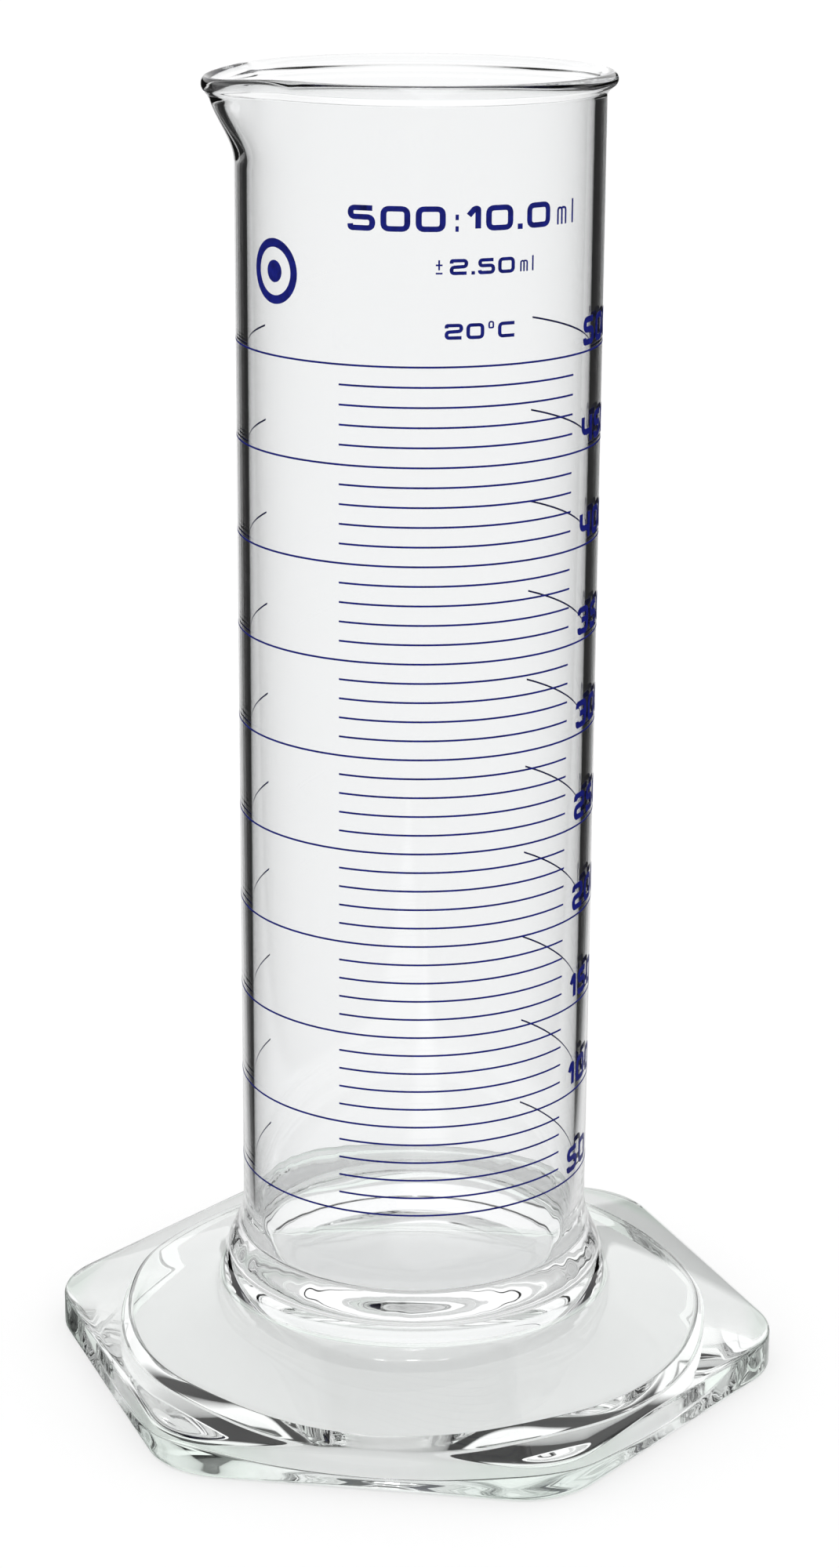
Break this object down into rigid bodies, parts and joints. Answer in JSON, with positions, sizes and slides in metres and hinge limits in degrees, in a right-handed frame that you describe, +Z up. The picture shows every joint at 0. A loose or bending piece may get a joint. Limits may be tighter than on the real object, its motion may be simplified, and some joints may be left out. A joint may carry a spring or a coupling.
{
  "type": "graduated cylinder",
  "caption": "Clear glass measuring cylinder with a pouring spout, a hexagonal foot and a blue enamel scale for measuring liquid volumes.",
  "frame": {"origin": "on the tube's axis, in the plane that the foot stands on", "axes": "+Z up along the tube's axis, -Y towards the middle of the scale, -X along the spout"},
  "size_m": [0.1306, 0.136, 0.2417],
  "materials": {
    "borosilicate_glass": "clear, fire-polished, faint green in thick sections",
    "blue_enamel": "fired screen-printed enamel, slight gloss"
  },
  "bodies": {
    "root": {"cylinder_body": "borosilicate_glass", "hexagonal_foot": "borosilicate_glass", "ring_050_ml": "blue_enamel", "numeral_050_ml": "blue_enamel", "line_060_ml": "blue_enamel", "line_070_ml": "blue_enamel", "line_080_ml": "blue_enamel", "line_090_ml": "blue_enamel", "ring_100_ml": "blue_enamel", "numeral_100_ml": "blue_enamel", "line_110_ml": "blue_enamel", "line_120_ml": "blue_enamel", "line_130_ml": "blue_enamel", "line_140_ml": "blue_enamel", "ring_150_ml": "blue_enamel", "numeral_150_ml": "blue_enamel", "line_160_ml": "blue_enamel", "line_170_ml": "blue_enamel", "line_180_ml": "blue_enamel", "line_190_ml": "blue_enamel", "ring_200_ml": "blue_enamel", "numeral_200_ml": "blue_enamel", "line_210_ml": "blue_enamel", "line_220_ml": "blue_enamel", "line_230_ml": "blue_enamel", "line_240_ml": "blue_enamel", "ring_250_ml": "blue_enamel", "numeral_250_ml": "blue_enamel", "line_260_ml": "blue_enamel", "line_270_ml": "blue_enamel", "line_280_ml": "blue_enamel", "line_290_ml": "blue_enamel", "ring_300_ml": "blue_enamel", "numeral_300_ml": "blue_enamel", "line_310_ml": "blue_enamel", "line_320_ml": "blue_enamel", "line_330_ml": "blue_enamel", "line_340_ml": "blue_enamel", "ring_350_ml": "blue_enamel", "numeral_350_ml": "blue_enamel", "line_360_ml": "blue_enamel", "line_370_ml": "blue_enamel", "line_380_ml": "blue_enamel", "line_390_ml": "blue_enamel", "ring_400_ml": "blue_enamel", "numeral_400_ml": "blue_enamel", "line_410_ml": "blue_enamel", "line_420_ml": "blue_enamel", "line_430_ml": "blue_enamel", "line_440_ml": "blue_enamel", "ring_450_ml": "blue_enamel", "numeral_450_ml": "blue_enamel", "line_460_ml": "blue_enamel", "line_470_ml": "blue_enamel", "line_480_ml": "blue_enamel", "line_490_ml": "blue_enamel", "ring_500_ml": "blue_enamel", "numeral_500_ml": "blue_enamel", "calibration_label": "blue_enamel", "ring_mark": "blue_enamel"}
  },
  "joints": []
}
